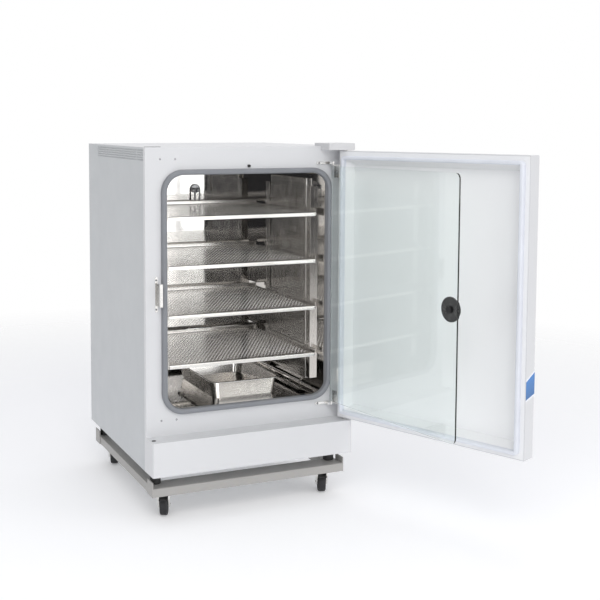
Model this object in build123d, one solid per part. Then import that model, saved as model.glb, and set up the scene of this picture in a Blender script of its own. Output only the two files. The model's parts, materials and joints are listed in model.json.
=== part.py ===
from build123d import *
import os

# Laboratory carbon-dioxide incubator on a wheeled base. Millimetres, +Z up, front towards -Y.
# The origin is on the floor, under the middle of the casing. Both doors are made closed and then
# turned open about their hinge axes, which is how the object stands at rest.

# --- casing ---
casing_width = 620.0
casing_depth = 590.0
casing_height = 910.0
floor_to_casing = 140.0
skin = 1.5  # painted sheet steel
front_return = 14.0  # side flanges of the front frame
casing_corner = 1.2  # rounding of the front frame's bent edges

# --- chamber ---
chamber_width = 490.0
chamber_depth = 500.0
chamber_floor = 165.0  # above the casing's underside
chamber_height = 675.0
chamber_corner = 16.0
liner_wall = 1.2
liner_flange = 34.0
mouth_inset = 12.0  # the front frame's cut-out is this much wider than the chamber, each side
mouth_rise = 0.5  # and this much taller
mouth_corner = 57.0

# --- chamber gasket ---
gasket_band = 15.0
gasket_proud = 14.0
gasket_overlap = 7.0  # outwards over the painted front
gasket_corner = 64.0

# --- lower front cover ---
cover_height = 98.0
cover_proud = 59.0
cover_corner = 5.0

# --- outer door ---
door_edge = 44.0  # thickness of the door's shell
door_height = 792.0
door_lift = 6.5  # gap above the lower cover
door_skin = 2.5
door_corner = 2.0
seal_gap = 0.6  # between the closed door's seal and the casing
door_lip = 25.0
door_slope = 16.0
door_recess = 23.0
liner_sheet = 2.5
seal_inset = 14.0
seal_band = 11.0
hinge_inset = 12.0  # hinge axis in from the casing's right side
hinge_forward = 32.0  # hinge axis in front of the casing
hinge_pin_radius = 5.0
running_gap = 0.05
bush_wall = 4.0
door_open = 113.0

# --- glass door ---
pane_width = 530.0
pane_height = 700.0
pane_thickness = 5.0
pane_corner = 16.0
pane_gap = 0.5  # between the closed pane and the chamber gasket
glass_axis_inset = 48.0  # pane hinge axis in from the casing's right side
glass_axis_back = 3.0  # pane behind its hinge axis
glass_tail = 2.0  # pane beyond its hinge axis
glass_open = 99.5
glass_pin_radius = 1.8
glass_barrel = 3.2
knob_radius = 33.0
knob_from_edge = 28.0
knob_height = 501.0
knob_rim = 4.0
knob_depth = 10.0
spindle_radius = 5.0

# --- shelves ---
shelf_width = 460.0
shelf_depth = 440.0
shelf_setback = 30.0
shelf_sheet = 1.2
shelf_lip = 11.0
shelf_tops = (713.0, 573.0, 432.0, 290.0)
rail_leg = 18.0
rail_sheet = 1.5
rest_gap = 0.3
post_depth = 12.0
post_width = 28.0
post_low = 203.0
post_high = 787.0
post_slot_pitch = 23.5
front_post_from_face = 84.0
rear_post_from_face = 382.0

# --- water pan ---
pan_width = 229.0
pan_length = 325.0
pan_height = 50.0
pan_wall = 1.2
pan_rim = 9.0
pan_middle = 28.0
pan_setback = 72.0

# --- wheeled base ---
base_width = 596.0
base_depth = 596.0
base_overhang = 25.0  # in front of the casing
rail_width = 40.0
cross_rail_width = 65.0
rail_height = 25.0
rail_underside = 73.0
corner_plate_size = 46.0
corner_plate_rise = 43.0
corner_plate_sheet = 3.0
foot_radius = 16.0
foot_inset_x = 34.0
foot_inset_y = 26.0
wheel_radius = 30.0
wheel_width = 24.0
wheel_bore_gap = 0.05
caster_inset = 46.0
caster_trail = 12.0
caster_turn = -22.0
fork_sheet = 5.0
fork_side_gap = 1.0
axle_radius = 4.0

# --- hidden working parts ---
fan_radius = 55.0
fan_width = 22.0
fan_height = 590.0
fan_gap = 3.0
shaft_radius = 4.0

# --- small fittings ---
screw_radius = 3.0
vent_radius = 2.5
vent_pitch = 9.0
vent_rows = 5
vent_row_pitch = 6.6
vent_top_margin = 9.0
vent_main_start, vent_main_columns = 78.0, 45
vent_side_start, vent_side_columns = 18.0, 6

# --- planes that follow from the sizes above ---
left, right = -casing_width / 2, casing_width / 2
front, rear = -casing_depth / 2, casing_depth / 2
bottom = floor_to_casing
top = bottom + casing_height
chamber_low = bottom + chamber_floor
chamber_high = chamber_low + chamber_height
chamber_mid = (chamber_low + chamber_high) / 2
chamber_half = chamber_width / 2
chamber_back = front + chamber_depth
flange_front = front + skin
flange_back = flange_front + liner_wall
mouth_width = chamber_width + 2 * mouth_inset
mouth_height = chamber_height + 2 * mouth_rise
gasket_width = mouth_width + 2 * gasket_overlap
gasket_height = mouth_height + 2 * gasket_overlap
cover_top = bottom + cover_height
door_low = cover_top + door_lift
door_high = door_low + door_height
door_mid = (door_low + door_high) / 2
door_back = front - 15.0
door_front = door_back - door_edge
hinge_x, hinge_y = right - hinge_inset, front - hinge_forward
pane_back = front - gasket_proud - pane_gap
pane_front = pane_back - pane_thickness
pane_mid_z = chamber_mid
pane_low = pane_mid_z - pane_height / 2
pane_high = pane_mid_z + pane_height / 2
glass_x = right - glass_axis_inset
glass_y = (pane_back + pane_front) / 2 - glass_axis_back
pane_right = glass_x + glass_tail
pane_left = pane_right - pane_width
knob_x = pane_left + knob_from_edge
knob_z = bottom + knob_height
shelf_front = front + shelf_setback
shelf_back = shelf_front + shelf_depth
shelf_z = [bottom + level for level in shelf_tops]
base_front = front - base_overhang
base_back = base_front + base_depth
rail_top = rail_underside + rail_height
fork_half = wheel_width / 2 + fork_side_gap
fan_z = bottom + fan_height


def block(x0, x1, y0, y1, z0, z1):
    return Pos((x0 + x1) / 2, (y0 + y1) / 2, (z0 + z1) / 2) * Box(x1 - x0, y1 - y0, z1 - z0)


def slab_y(sketch, y0, y1):
    """A sketch drawn in X and Z, extruded from y0 to y1."""
    return extrude(Plane.XZ.offset(-y0) * sketch, amount=y0 - y1)


def slab_x(sketch, x0, x1):
    """A sketch drawn in Y and Z, extruded from x0 to x1."""
    return extrude(Plane.YZ.offset(x0) * sketch, amount=x1 - x0)


def slab_z(sketch, z0, z1):
    """A sketch drawn in X and Y, extruded from z0 to z1."""
    return extrude(Plane.XY.offset(z0) * sketch, amount=z1 - z0)


def rod_x(radius, x0, x1, y, z):
    return slab_x(Pos(y, z) * Circle(radius), x0, x1)


def rod_y(radius, y0, y1, x, z):
    return slab_y(Pos(x, z) * Circle(radius), y0, y1)


def rod_z(radius, z0, z1, x, y):
    return slab_z(Pos(x, y) * Circle(radius), z0, z1)


def ring_y(width, height, corner, band, y0, y1, z_mid):
    """A rounded rectangular ring, band wide, drawn round the chamber's or the door's middle."""
    outer = RectangleRounded(width, height, corner)
    inner = RectangleRounded(width - 2 * band, height - 2 * band, max(corner - band, 1.0))
    return slab_y(Pos(0, z_mid) * (outer - inner), y0, y1)


def turned(shape, x, y, angle):
    """The shape swung about the vertical axis through x, y."""
    return Pos(x, y, 0) * Rot(0, 0, angle) * Pos(-x, -y, 0) * shape


def door_turned(shape):
    return turned(shape, hinge_x, hinge_y, door_open)


def glass_turned(shape):
    return turned(shape, glass_x, glass_y, glass_open)


nodes = {}


# ---------------------------------------------------------------- casing
def side_vents():
    """Five staggered rows of air holes near the top, in a long group and a short one in front of it."""
    holes = []
    for row in range(vent_rows):
        start = front + vent_pitch / 2 * (row % 2)
        level = top - vent_top_margin - row * vent_row_pitch
        holes += [(start + vent_main_start + i * vent_pitch, level) for i in range(vent_main_columns)]
        holes += [(start + vent_side_start + i * vent_pitch, level) for i in range(vent_side_columns)]
    return holes


def side_panel(outer, inner):
    y0, y1 = front + front_return, rear - skin
    with BuildSketch() as face:
        with Locations(((y0 + y1) / 2, (bottom + top) / 2)):
            Rectangle(y1 - y0, casing_height - 2 * skin)
        with Locations(*side_vents()):
            Circle(vent_radius, mode=Mode.SUBTRACT)
    return slab_x(face.sketch, min(outer, inner), max(outer, inner))


nodes["side_panel_left"] = side_panel(left, left + skin)
nodes["side_panel_right"] = side_panel(right, right - skin)

top_panel = block(left, right, front + front_return, rear - skin, top - skin, top)
nodes["top_panel"] = top_panel
nodes["base_pan"] = block(left, right, front + front_return, rear - skin, bottom, bottom + skin)


def front_frame():
    """The painted front: a face with rounded edges, side flanges and the cut-out for the chamber."""
    shell = block(left, right, front, front + front_return, bottom, top)
    outer_edges = shell.faces().sort_by(Axis.Y)[0].edges()
    shell = fillet(outer_edges, casing_corner)
    shell -= block(left + skin, right - skin, front + skin, front + front_return, bottom + skin, top - skin)
    cut_out = Pos(0, chamber_mid) * RectangleRounded(mouth_width, mouth_height, mouth_corner)
    shell -= slab_y(cut_out, front, front + skin)
    shell -= rod_y(switch_radius + switch_gap, front, front + skin, 0, switch_z)
    return shell


switch_radius, switch_gap = 4.0, 0.1
switch_z = bottom + 855
nodes["front_frame"] = front_frame()

# rear panel, with its cut-outs for the mains inlet, the gas stub and the power switch
inlet_x, inlet_z, inlet_width, inlet_height = -200.0, bottom + 90, 27.5, 20.0
switch_x, switch_width, switch_height = -150.0, 13.0, 19.5
gas_x, gas_radius = 180.0, 5.0
rear_panel = block(left, right, rear - skin, rear, bottom, top)
rear_panel -= block(
    inlet_x - inlet_width / 2, inlet_x + inlet_width / 2, rear - skin, rear,
    inlet_z - inlet_height / 2, inlet_z + inlet_height / 2,
)
rear_panel -= block(
    switch_x - switch_width / 2, switch_x + switch_width / 2, rear - skin, rear,
    inlet_z - switch_height / 2, inlet_z + switch_height / 2,
)
rear_panel -= rod_y(gas_radius + 0.5, rear - skin, rear, gas_x, inlet_z)
nodes["rear_panel"] = rear_panel


# ---------------------------------------------------------------- chamber
def chamber_body(grow, y0, y1):
    """The chamber's rounded box, grown outwards by grow."""
    section = RectangleRounded(chamber_width + 2 * grow, chamber_height + 2 * grow, chamber_corner + grow)
    return slab_y(Pos(0, chamber_mid) * section, y0, y1)


def chamber_liner():
    flange = RectangleRounded(
        chamber_width + 2 * liner_flange, chamber_height + 2 * liner_flange, mouth_corner + liner_flange - mouth_inset
    )
    liner = slab_y(Pos(0, chamber_mid) * flange, flange_front, flange_back)
    liner += chamber_body(liner_wall, flange_back, chamber_back + liner_wall)
    liner -= chamber_body(0, flange_front, chamber_back)
    liner -= rod_x(fan_radius - 10, chamber_half, chamber_half + liner_wall, fan_y, fan_z)
    liner -= rod_y(switch_radius + 3, flange_front, flange_back, 0, switch_z)
    return liner


fan_y = (front + chamber_back) / 2
nodes["chamber_liner"] = chamber_liner()

# foil heaters on the liner's two outer side walls
heater_sheet = 0.8
heater_out = chamber_half + liner_wall
heaters = []
for side in (-1, 1):
    sheet = slab_x(
        Pos(fan_y, chamber_mid) * Rectangle(chamber_depth - 60, chamber_height - 60),
        min(side * heater_out, side * (heater_out + heater_sheet)),
        max(side * heater_out, side * (heater_out + heater_sheet)),
    )
    if side > 0:
        sheet -= rod_x(fan_radius + fan_gap, heater_out, heater_out + heater_sheet, fan_y, fan_z)
    heaters.append(sheet)
nodes["chamber_heater"] = Compound(heaters)

# foam between the liner and the casing, with a pocket for the fan
foam_back = chamber_back + 46
foam = block(
    left + skin, right - skin, flange_back, foam_back, bottom + skin, top - skin,
)
foam -= block(left + skin, right - skin, flange_back, front + front_return, bottom + skin, bottom + skin + 0.5)
foam -= chamber_body(liner_wall, flange_back, chamber_back + liner_wall)
for sheet in heaters:
    foam -= sheet
foam -= rod_x(fan_radius + fan_gap, heater_out, right - skin, fan_y, fan_z)
foam -= rod_y(switch_radius + 3, flange_back, flange_back + 24, 0, switch_z)
nodes["insulation"] = foam


def chamber_gasket():
    """A silicone ring with a rounded crown, and a foot that fills the front frame's cut-out."""
    crown = ring_y(gasket_width, gasket_height, gasket_corner, gasket_band, front - gasket_proud, front, chamber_mid)
    crown = fillet(crown.faces().sort_by(Axis.Y)[0].edges(), gasket_crown)
    inner_width, inner_height = gasket_width - 2 * gasket_band, gasket_height - 2 * gasket_band
    foot = Pos(0, chamber_mid) * (
        RectangleRounded(mouth_width, mouth_height, mouth_corner)
        - RectangleRounded(inner_width, inner_height, gasket_corner - gasket_band)
    )
    return crown + slab_y(foot, front, flange_front)


gasket_crown = 5.5
nodes["chamber_gasket"] = chamber_gasket()

# shelf posts: slotted channels on the chamber's side walls
post_face = chamber_half - post_depth
post_ys = (front + front_post_from_face, front + rear_post_from_face)


def shelf_post(side, y):
    z0, z1 = bottom + post_low, bottom + post_high
    x0, x1 = sorted((side * post_face, side * chamber_half))
    post = block(x0, x1, y - post_width / 2, y + post_width / 2, z0, z1)
    h0, h1 = sorted((side * (post_face + rail_sheet), side * chamber_half))
    post -= block(h0, h1, y - post_width / 2 + rail_sheet, y + post_width / 2 - rail_sheet, z0, z1)
    count = int((z1 - z0 - 2 * post_slot_pitch) // post_slot_pitch)
    with BuildSketch() as slots:
        for i in range(count):
            with Locations((y, z0 + post_slot_pitch * (i + 1))):
                Rectangle(post_slot_width, post_slot_height)
    f0, f1 = sorted((side * post_face, side * (post_face + rail_sheet)))
    return post - slab_x(slots.sketch, f0, f1)


post_slot_width, post_slot_height = 12.0, 5.0
nodes["shelf_posts"] = Compound([shelf_post(side, y) for side in (-1, 1) for y in post_ys])


def shelf_rail(side, level):
    """An angle between a front and a rear post, whose leg carries the shelf's edge."""
    y0, y1 = shelf_front + shelf_sheet + rest_gap, post_ys[1] + post_width / 2
    seat = level - shelf_sheet - rest_gap
    u0, u1 = sorted((side * (post_face - rail_sheet), side * post_face))
    l0, l1 = sorted((side * (post_face - rail_sheet - rail_leg), side * (post_face - rail_sheet)))
    upright = block(u0, u1, y0, y1, seat - rail_drop, seat + rail_rise)
    return upright + block(l0, l1, y0, y1, seat - rail_sheet, seat)


rail_drop, rail_rise = 10.0, 12.0
nodes["shelf_rails"] = Compound([shelf_rail(side, level) for side in (-1, 1) for level in shelf_z])

# perforated air duct on the right wall, over the fan's opening
duct_sheet, duct_depth, duct_edge = 1.0, 10.0, 6.0
duct_y0, duct_y1 = post_ys[0] + post_width / 2 + duct_edge, post_ys[1] - post_width / 2 - duct_edge
duct_z0, duct_z1 = chamber_low + 30, chamber_high - 30
duct = block(chamber_half - duct_depth, chamber_half, duct_y0, duct_y1, duct_z0, duct_z1)
duct -= block(
    chamber_half - duct_depth + duct_sheet, chamber_half, duct_y0 + duct_sheet, duct_y1 - duct_sheet,
    duct_z0 + duct_sheet, duct_z1 - duct_sheet,
)
nodes["duct_panel"] = duct

# circulation fan: a motor behind the right wall, and its impeller in the opening
impeller_x0 = chamber_half + liner_wall + 4
impeller_x1 = impeller_x0 + fan_width
shaft_tip = impeller_x0 + 4
motor_x0 = impeller_x1 + 4
motor = rod_x(30, motor_x0, right - skin, fan_y, fan_z)
motor += rod_x(shaft_radius, shaft_tip, motor_x0, fan_y, fan_z)
nodes["fan_motor"] = motor


def fan_impeller():
    """A drum of blades on a back plate, with a hub that runs on the motor's shaft."""
    plate_x0 = impeller_x1 - 2
    wheel = rod_x(fan_radius - 2, plate_x0, impeller_x1, fan_y, fan_z)
    wheel += rod_x(12, shaft_tip, impeller_x1, fan_y, fan_z)
    for i in range(fan_blades):
        blade = block(impeller_x0, plate_x0, fan_y + 32, fan_y + fan_radius - 4, fan_z - 1, fan_z + 1)
        wheel += Pos(0, fan_y, fan_z) * Rot(360 / fan_blades * i, 0, 0) * Pos(0, -fan_y, -fan_z) * blade
    return wheel - rod_x(shaft_radius + running_gap, shaft_tip, impeller_x1, fan_y, fan_z)


fan_blades = 14
nodes["fan_impeller"] = fan_impeller()

# sensor head high on the rear wall: a round grommet with two bent probes
sensor_x, sensor_z, sensor_radius = 22.0, bottom + 762, 15.0
probe_radius, probe_reach, probe_drop, probe_spread = 3.0, 22.0, 40.0, 16.0
grommet = rod_y(sensor_radius, chamber_back - 8, chamber_back, sensor_x, sensor_z)
sensor = [fillet(grommet.faces().sort_by(Axis.Y)[0].edges(), 2)]
for side in (-1, 1):
    x = sensor_x + side * probe_spread / 2
    y = chamber_back - probe_reach
    probe = rod_y(probe_radius, y, chamber_back - 8, x, sensor_z) + Pos(x, y, sensor_z) * Sphere(probe_radius)
    probe += rod_z(probe_radius, sensor_z - probe_drop, sensor_z, x, y)
    sensor.append(probe)
nodes["chamber_sensor"] = Compound(sensor)

# electronics between the foam and the rear panel
board = block(-60, 140, foam_back + 10, foam_back + 12, bottom + 500, bottom + 760)
supply = block(-120, 60, foam_back, foam_back + 34, bottom + 200, bottom + 300)
nodes["control_electronics"] = Compound([board, supply])

gas_valve = block(gas_x - 18, gas_x + 18, foam_back, rear - skin, inlet_z - 18, inlet_z + 18)
gas_stub = rod_y(gas_radius, rear - skin, rear + 22, gas_x, inlet_z)
for step in (10, 15, 20):
    barb = Cone(gas_radius + 1.5, gas_radius, 4)
    gas_stub += Pos(gas_x, rear + step, inlet_z) * Rot(-90, 0, 0) * barb
gas_stub -= rod_y(2.5, rear - 10, rear + 22, gas_x, inlet_z)
gas_valve -= rod_y(2.5, rear - 10, rear - skin, gas_x, inlet_z)
nodes["gas_inlet"] = gas_valve + gas_stub


def mains_inlet():
    """A three-pin appliance inlet in the rear panel."""
    depth = 18.0
    w, h = inlet_width / 2, inlet_height / 2
    housing = block(inlet_x - w, inlet_x + w, rear - depth, rear, inlet_z - h, inlet_z + h)
    housing += block(inlet_x - w - 4, inlet_x + w + 4, rear, rear + 2, inlet_z - h - 4, inlet_z + h + 4)
    housing -= block(inlet_x - w + 2, inlet_x + w - 2, rear - depth + 2, rear + 2, inlet_z - h + 2, inlet_z + h - 2)
    for dx, dz in ((-7, -3), (0, -3), (7, -3)):
        x, z = inlet_x + dx, inlet_z + dz
        housing += block(x - 1, x + 1, rear - depth + 2, rear - 2, z - 2.5, z + 2.5)
    return housing


nodes["mains_inlet"] = mains_inlet()

# rocker switch beside the inlet, on a cross pin that is part of the rocker
rocker_gap = 0.5
rocker = block(
    switch_x - switch_width / 2 + rocker_gap, switch_x + switch_width / 2 - rocker_gap, rear - 3.5, rear + 1.5,
    inlet_z - switch_height / 2 + 1.5, inlet_z + switch_height / 2 - 1.5,
)
rocker = fillet(rocker.edges().filter_by(Axis.X), 1.2)
rocker_tilt, rocker_pin = 6.0, 1.0
pin_half = switch_width / 2 - 0.1
rocker += rod_x(rocker_pin, switch_x - pin_half, switch_x + pin_half, rear - 1, inlet_z)
nodes["power_switch"] = Pos(0, rear - 1, inlet_z) * Rot(rocker_tilt, 0, 0) * Pos(0, 1 - rear, -inlet_z) * rocker

# sprung plunger above the chamber's mouth
plunger = rod_y(switch_radius, front - 7, front + 12, 0, switch_z)
nodes["door_switch"] = fillet(plunger.faces().sort_by(Axis.Y)[0].edges(), 1.8)


# ---------------------------------------------------------------- lower cover and hinges
def lower_front_cover():
    y0 = front - cover_proud
    cover = block(left, right, y0, front, bottom, cover_top)
    upright = cover.edges().filter_by(Axis.Z).group_by(Axis.Y)[0]
    cover = fillet(upright, cover_corner)
    cover = fillet(cover.faces().sort_by(Axis.Y)[0].edges().filter_by(Axis.X), casing_corner)
    cover -= block(left + skin, right - skin, y0 + skin, front, bottom + skin, cover_top - skin)
    for x in (hinge_x, -hinge_x):
        cover -= rod_z(hinge_pin_radius + 1, cover_top - skin, cover_top, x, hinge_y)
    return cover


nodes["lower_front_cover"] = lower_front_cover()

plate_sheet = 4.0
top_plate_z0, top_plate_z1 = top, top + plate_sheet
low_plate_z1 = cover_top - skin
low_plate_z0 = low_plate_z1 - 12
top_plate_area = (hinge_x - 46, hinge_x + 12, hinge_y - 14, front + 40)
upper_plate = block(*top_plate_area, top_plate_z0, top_plate_z1)
lower_plate = block(hinge_x - 30, hinge_x + 8, hinge_y - 12, front, low_plate_z0, low_plate_z1)
upper_plate -= rod_z(hinge_pin_radius, top_plate_z0, top_plate_z1, hinge_x, hinge_y)
lower_plate -= rod_z(hinge_pin_radius, low_plate_z0, low_plate_z1, hinge_x, hinge_y)
nodes["hinge_plates"] = Compound([upper_plate, lower_plate])

pin_bite = 24.0
top_pin = rod_z(hinge_pin_radius, door_high - pin_bite, top_plate_z1, hinge_x, hinge_y)
low_pin = rod_z(hinge_pin_radius, low_plate_z0, door_low + pin_bite, hinge_x, hinge_y)
nodes["hinge_pins"] = Compound([top_pin, low_pin])

# moulded cap over the upper hinge plate
cap_z0, cap_z1 = door_high + 2.5, top + 9
cap = block(hinge_x - 68, hinge_x + 18, hinge_y - 22, front + 44, cap_z0, cap_z1)
cap = fillet(cap.edges().filter_by(Axis.Z), 5)
cap = fillet(cap.faces().sort_by(Axis.Z)[-1].edges(), 1.5)
cap -= block(left, right + 1, front, rear, bottom, top)
cap -= block(*top_plate_area, top, top_plate_z1)
cap -= rod_z(hinge_pin_radius, cap_z0, top, hinge_x, hinge_y)
nodes["hinge_cap"] = cap

# dark plugs in the spare hinge positions on the left
spare_low = rod_z(hinge_pin_radius + 1, cover_top - skin, cover_top + 0.6, -hinge_x, hinge_y)
spare_top = block(-hinge_x - 4, -hinge_x + 40, front + 18, front + 30, top, top + 0.8)
nodes["spare_hinge_plugs"] = Compound([spare_low, spare_top])


# ---------------------------------------------------------------- glass door's fixed hardware
def glass_bracket(upper):
    """An arm screwed to the front, with the pin that the pane's barrel turns on."""
    z0 = pane_high + bracket_gap if upper else pane_low - bracket_gap - bracket_height
    z1 = z0 + bracket_height
    end = bracket_end
    arm = block(glass_x - 46, glass_x, front - 6, front, z0, z1)
    arm += block(glass_x - 12, glass_x, glass_y, front, z0, z1) + rod_z(end, z0, z1, glass_x, glass_y)
    if upper:
        return arm + rod_z(glass_pin_radius, pane_high + barrel_gap, z0, glass_x, glass_y)
    return arm + rod_z(glass_pin_radius, z1, pane_low - barrel_gap, glass_x, glass_y)


bracket_height, bracket_end, bracket_gap = 7.0, 3.2, 5.0
shoe_height, shoe_sheet = 34.0, 1.5
barrel_height, barrel_gap = 4.2, 0.5
nodes["glass_hinge_brackets"] = Compound([glass_bracket(True), glass_bracket(False)])

# strike: a screwed base, a standing web and a lip that the knob's rim turns behind
strike_web = pane_left - 9.0
strike_lip_y = pane_front - knob_rim - 2.0
strike_half = 49.0
strike = block(strike_web - 7, strike_web, front - 2, front, knob_z - strike_half, knob_z + strike_half)
strike += block(strike_web - 1.5, strike_web, strike_lip_y - 1.5, front, knob_z - 32, knob_z + 32)
strike += block(strike_web - 1.5, strike_web + 7, strike_lip_y - 1.5, strike_lip_y, knob_z - 32, knob_z + 32)
nodes["strike_plate"] = strike


# ---------------------------------------------------------------- outer door, made closed
def door_shell():
    shell = block(left, right, door_front, door_back, door_low, door_high)
    shell = fillet(shell.faces().sort_by(Axis.Y)[0].edges() + shell.edges().filter_by(Axis.Y), door_corner)
    shell -= block(
        left + door_skin, right - door_skin, door_front + door_skin, door_back,
        door_low + door_skin, door_high - door_skin,
    )
    for z0, z1 in ((door_low, door_low + door_skin), (door_high - door_skin, door_high)):
        shell -= rod_z(bush_radius, z0, z1, hinge_x, hinge_y)
    shell -= block(*pull_x, door_front, door_front + door_skin, *pull_z)
    return shell


def recess(grow):
    """The liner's tapered recess, grown outwards by grow."""
    wide = RectangleRounded(
        casing_width - 2 * door_lip + 2 * grow, door_height - 2 * door_lip + 2 * grow, recess_corner + grow
    )
    inset = 2 * (door_lip + door_slope)
    narrow = RectangleRounded(casing_width - inset + 2 * grow, door_height - inset + 2 * grow, recess_corner + grow)
    return loft([
        Plane.XZ.offset(-door_back) * Pos(0, door_mid) * wide,
        Plane.XZ.offset(-(door_back - door_recess - grow)) * Pos(0, door_mid) * narrow,
    ])


def door_liner():
    liner = block(
        left + door_skin, right - door_skin, door_back - liner_sheet, door_back,
        door_low + door_skin, door_high - door_skin,
    )
    liner += recess(liner_sheet)
    liner -= recess(0)
    for z0, z1 in ((door_low, door_low + pin_bite + 2), (door_high - pin_bite - 2, door_high)):
        liner -= rod_z(bush_radius, z0, z1, hinge_x, hinge_y)
    return liner


def door_seal():
    """The ring that closes the door against the casing, with a rounded crown."""
    seal_front, seal_back = door_back, front - seal_gap
    outer_width, outer_height = casing_width - 2 * seal_inset, door_height - 2 * seal_inset
    ring = ring_y(outer_width, outer_height, seal_corner, seal_band, seal_front, seal_back, door_mid)
    return fillet(ring.faces().sort_by(Axis.Y)[-1].edges(), seal_crown)


def door_foam():
    foam = block(
        left + door_skin, right - door_skin, door_front + door_skin, door_back - liner_sheet,
        door_low + door_skin, door_high - door_skin,
    )
    foam -= recess(liner_sheet)
    for z0, z1 in ((door_low, door_low + pin_bite + 2), (door_high - pin_bite - 2, door_high)):
        foam -= rod_z(bush_radius, z0, z1, hinge_x, hinge_y)
    return foam - block(*pull_x, door_front, door_front + pull_depth, *pull_z)


bush_radius = hinge_pin_radius + running_gap + bush_wall
recess_corner = 6.0
seal_corner, seal_crown = 12.0, 4.0
pull_depth = 17.0
pull_x = (left + 46.0, left + 84.0)
pull_z = (door_mid - 70.0, door_mid + 70.0)
nodes["door_shell"] = door_turned(door_shell())
nodes["door_liner"] = door_turned(door_liner())
nodes["door_gasket"] = door_turned(door_seal())
nodes["door_foam"] = door_turned(door_foam())


def door_bush(z0, z1):
    sleeve = rod_z(bush_radius, z0, z1, hinge_x, hinge_y)
    return sleeve - rod_z(hinge_pin_radius + running_gap, z0, z1, hinge_x, hinge_y)


bushes = [door_bush(door_low, door_low + pin_bite + 2), door_bush(door_high - pin_bite - 2, door_high)]
nodes["door_bushes"] = door_turned(Compound(bushes))

# recessed pull near the free edge of the door's outer face
cup = block(*pull_x, door_front, door_front + pull_depth, *pull_z)
cup -= block(
    pull_x[0] + 2, pull_x[1] - 2, door_front, door_front + pull_depth - 2, pull_z[0] + 2, pull_z[1] - 2,
)
nodes["door_pull"] = door_turned(cup)

# control panel and its display on the outer face
panel_x, panel_z, panel_width, panel_height, panel_proud = 0.0, door_high - 150, 240.0, 120.0, 5.0
panel = slab_y(
    Pos(panel_x, panel_z) * RectangleRounded(panel_width, panel_height, 10), door_front - panel_proud, door_front,
)
panel = fillet(panel.faces().sort_by(Axis.Y)[0].edges(), 2)
window = Pos(panel_x, panel_z + 4) * RectangleRounded(150, 76, 3)
panel -= slab_y(window, door_front - panel_proud, door_front - panel_proud + 1.5)
nodes["control_panel"] = door_turned(panel)
nodes["display_window"] = door_turned(slab_y(window, door_front - panel_proud + 0.3, door_front - panel_proud + 1.5))

# slanted coloured band that wraps from the outer face round the free edge
band_sheet = 0.4
band_low, band_high = bottom + 270.0, bottom + 339.0
band_back_low, band_back_high = bottom + 260.0, bottom + 318.0
face_run, face_drop = 330.0, 120.0
edge_band = Polygon(
    (door_front, band_low), (door_back - 1, band_back_low), (door_back - 1, band_back_high), (door_front, band_high),
    align=None,
)
band = slab_x(edge_band, left - band_sheet, left)
face_band = Polygon(
    (left - band_sheet, band_low), (left + face_run, band_low - face_drop),
    (left + face_run, band_high - face_drop), (left - band_sheet, band_high), align=None,
)
band += slab_y(face_band, door_front - band_sheet, door_front)
nodes["accent_band"] = door_turned(band)


# ---------------------------------------------------------------- glass door, made closed
def glass_pane():
    pane = block(pane_left, pane_right, pane_front, pane_back, pane_low, pane_high)
    free_edges = pane.edges().filter_by(Axis.Y).group_by(Axis.X)[0]
    pane = fillet(free_edges, pane_corner)
    return pane - rod_y(spindle_radius + running_gap, pane_front, pane_back, knob_x, knob_z)


def glass_clip(upper):
    """A shoe on the pane's front, with the barrel that turns on the bracket's pin."""
    x0, x1, y0 = glass_x - 30, glass_x - 6, pane_front - shoe_sheet
    b0 = pane_high + barrel_gap if upper else pane_low - barrel_gap - barrel_height
    b1 = b0 + barrel_height
    z0, z1 = (pane_high - shoe_height, b1) if upper else (b0, pane_low + shoe_height)
    clip = block(x0, x1, y0, pane_front, z0, z1) + block(x0, x1, y0, pane_front + 2, b0, b1)
    clip += block(glass_x - 12, glass_x, glass_y - 1.5, glass_y + 1.5, b0, b1)
    clip += rod_z(glass_barrel, b0, b1, glass_x, glass_y)
    return clip - rod_z(glass_pin_radius + running_gap, b0, b1, glass_x, glass_y)


nodes["glass_pane"] = glass_turned(glass_pane())
nodes["glass_clips"] = glass_turned(Compound([glass_clip(True), glass_clip(False)]))


def latch_knob():
    """A round knob with one flat, on a spindle through the pane, held by a button on the inside."""
    rim = rod_y(knob_radius, pane_front - knob_rim, pane_front, knob_x, knob_z)
    crown = rod_y(knob_radius - 5, pane_front - knob_depth, pane_front - knob_rim, knob_x, knob_z)
    crown = fillet(crown.faces().sort_by(Axis.Y)[0].edges(), 3)
    knob = rim + crown
    knob -= block(
        knob_x - knob_radius - 1, pane_left + 1, pane_front - knob_depth - 1, pane_front + 1,
        knob_z - knob_radius - 1, knob_z + knob_radius + 1,
    )
    knob += rod_y(spindle_radius, pane_front, pane_back, knob_x, knob_z)
    return knob + rod_y(9, pane_back, pane_back + 4, knob_x, knob_z)


nodes["latch_knob"] = glass_turned(latch_knob())


# ---------------------------------------------------------------- shelves and pan
def shelf(level):
    """A plain sheet with its front edge turned down and its rear edge turned up."""
    half = shelf_width / 2
    sheet = block(-half, half, shelf_front, shelf_back, level - shelf_sheet, level)
    sheet += block(-half, half, shelf_front, shelf_front + shelf_sheet, level - shelf_lip, level)
    sheet += block(-half, half, shelf_back - shelf_sheet, shelf_back, level - shelf_sheet, level + shelf_lip - 1)
    return sheet


for number, level in enumerate(shelf_z, start=1):
    nodes[f"shelf_{number}"] = shelf(level)


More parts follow.
